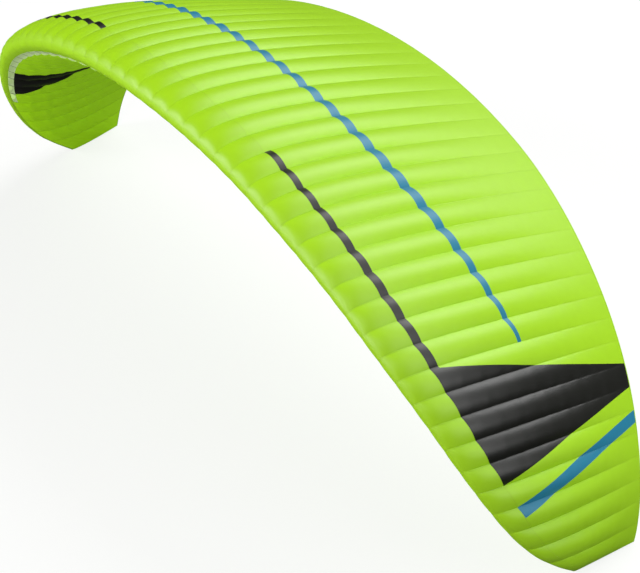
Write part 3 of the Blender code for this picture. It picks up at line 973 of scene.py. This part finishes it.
# roots of the chord share between the bays, a hole's width and height as shares of its bay's, the
# points along each side of a bay, and the rings from the hole out to its sides
RIB_BAYS = (0.035, 0.29, 0.42, 0.545, 0.665, 0.775, 0.875)
HOLE_WIDE = 0.60
HOLE_HIGH = 0.52
SIDE_POINTS = 9
BAY_RINGS = 4

# the scale of a rib's height on the flat for the weave, in shares of its chord
RIB_WEAVE = 0.08

# the binding's width, and the chord shares of its two ends by the lips
BINDING_WIDE = 0.014
BINDING_RUN = (0.0298, 0.0542)
BINDING_POINTS = 9

RIB_WHITE = srgb(232, 236, 226)
RIB_THREAD = srgb(214, 220, 206)
# painted glow of the ribs, standing in for the daylight that reaches them through the sails
RIB_PAINTED_GLOW = srgb(222, 234, 202)
BINDING_GREY = srgb(146, 158, 128)
RIB_MOTTLE = 0.10
RIB_ROUGH = 0.55
RIB_THREAD_ROUGH = 0.1


def under_cloth(share, w):
    """Profile point moved in, against the profile's outward direction, to lie under the cloth."""
    y, z = profile(share, w)
    out_y, out_z = profile_out(share, w)
    inset = CLOTH + RIB_CLEAR
    return y - out_y * inset, z - out_z * inset


def rib_point(share, q, h, aside):
    """A point of a rib: at the root q of the chord share, h = 1 lies under the top sail and -1
    over the bottom sail, straight lines between, moved sideways along the arc by aside."""
    s = np.full_like(q, share)
    yt, zt = under_cloth(s, q)
    yb, zb = under_cloth(s, -q)
    y, z = (yt + yb) / 2.0 + h * (yt - yb) / 2.0, (zt + zb) / 2.0 + h * (zt - zb) / 2.0
    points = to_world(s, q, y, z)
    slope = arc_place(s)[2]
    points = points + aside * np.stack([np.cos(slope), -np.sin(slope) * math.sin(NOSE_UP),
                                        -np.sin(slope) * math.cos(NOSE_UP)], -1)
    points[..., 2] -= TIP_LEVEL
    return points


def rib_bay(q0, q1):
    """One bay of a rib as rings: straight lines from an oval round its middle, at the angle of
    each point of the bay's four sides, out to that point. Ring number runs first and place round
    the ring second."""
    side, end = np.linspace(-1.0, 1.0, SIDE_POINTS), np.ones(SIDE_POINTS)
    ring = np.concatenate([
        np.stack([side, -end], 1)[:-1], np.stack([end, side], 1)[:-1],
        np.stack([-side, end], 1)[:-1], np.stack([-end, -side], 1)[:-1]])
    angle = np.arctan2(ring[:, 1], ring[:, 0])
    oval = np.stack([HOLE_WIDE * np.cos(angle), HOLE_HIGH * np.sin(angle)], 1)
    r = np.linspace(0.0, 1.0, BAY_RINGS)[:, None, None]
    place = oval[None] + (ring - oval)[None] * r
    return (q0 + q1) / 2.0 + place[..., 0] * (q1 - q0) / 2.0, place[..., 1]


def rib_flat():
    """Root of chord share and height place of every point of a rib, with its quads: the bays in a
    row, with points that fall together made one."""
    parts, quads, count = [], [], 0
    for q0, q1 in zip(RIB_BAYS[:-1], RIB_BAYS[1:]):
        bay_q, bay_h = rib_bay(q0, q1)
        rings, around = bay_q.shape
        index = np.arange(rings * around).reshape(rings, around) + count
        after = np.roll(index, -1, axis=1)
        quads.append(np.stack([index[:-1], index[1:], after[1:], after[:-1]], -1).reshape(-1, 4))
        parts.append(np.stack([bay_q, bay_h], -1).reshape(-1, 2))
        count += rings * around
    places = np.concatenate(parts)
    kept, place_of = np.unique(np.round(places, 6), axis=0, return_inverse=True)
    return kept[:, 0], kept[:, 1], place_of.ravel()[np.concatenate(quads)]


def binding(share):
    """The binding sewn over a rib's front edge in the intake: a strip BINDING_WIDE wide that
    runs from lip to lip on the profile, as its face and its back."""
    aside = np.linspace(-0.5, 0.5, 3)[:, None] * BINDING_WIDE / HALF_SPAN
    w = -np.sqrt(np.linspace(*BINDING_RUN, BINDING_POINTS))[None, :]
    return sail(share + aside, w, -CLOTH), sail(share + aside, w, -CLOTH - RIB_CLOTH)


rib_material = bpy.data.materials.new("rib_ripstop")
rib_material.use_nodes = True
rib_tree = rib_material.node_tree
rib_shader = rib_tree.nodes["Principled BSDF"]
rib_uv = add_node(rib_tree, "ShaderNodeUVMap", uv_map="flat_cloth").outputs[0]
rib_threads = group_node(rib_tree, weave, rib_uv, RIPSTOP_SQUARE).outputs["Thread"]
rib_colour = mix(rib_tree, rib_threads, RIB_WHITE, RIB_THREAD)
rib_colour = mix(rib_tree, attribute(rib_tree, "binding"), rib_colour, BINDING_GREY)
rib_colour = group_node(rib_tree, tone, rib_colour, RIB_MOTTLE).outputs[0]
rib_tree.links.new(rib_colour, rib_shader.inputs["Base Color"])
rougher = math_node(rib_tree, "MULTIPLY", rib_threads, RIB_THREAD_ROUGH)
rib_tree.links.new(math_node(rib_tree, "ADD", rougher, RIB_ROUGH), rib_shader.inputs["Roughness"])
# A faint painted glow in place of the daylight that reaches the ribs through the sails.
rib_shader.inputs["Emission Color"].default_value = RIB_PAINTED_GLOW
rib_shader.inputs["Emission Strength"].default_value = 0.06
rib_q, rib_h, rib_quads = rib_flat()

for side, sign in (("left", 1.0), ("right", -1.0)):
    for number in range(1, RIBS_A_SIDE + 1):
        share = sign * SEAMS[CELLS_A_SIDE + number]
        face = rib_point(share, rib_q, rib_h, RIB_CLOTH / 2.0)
        back = rib_point(share, rib_q, rib_h, -RIB_CLOTH / 2.0)
        chord = float(curve(PLAN, 1, np.array(abs(share))))
        flat = np.stack([rib_q ** 2 * chord, rib_h * RIB_WEAVE * chord], -1)
        strip, strip_back = binding(share)
        quads = np.concatenate([rib_quads[:, ::-1], grid_quads(*strip.shape[:2]) + len(face)])
        face = np.concatenate([face, strip.reshape(-1, 3)])
        back = np.concatenate([back, strip_back.reshape(-1, 3)])
        flat = np.concatenate([flat, strip.reshape(-1, 3)[:, :2]])
        bound = (np.arange(len(face)) >= len(rib_q)).astype(float)
        piece = cloth_piece("cell_wall_%s_%02d" % (side, number), face, back, quads, {"binding": bound}, flat,
                            (rib_material,))
        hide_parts("rib_%s_%02d" % (side, number))
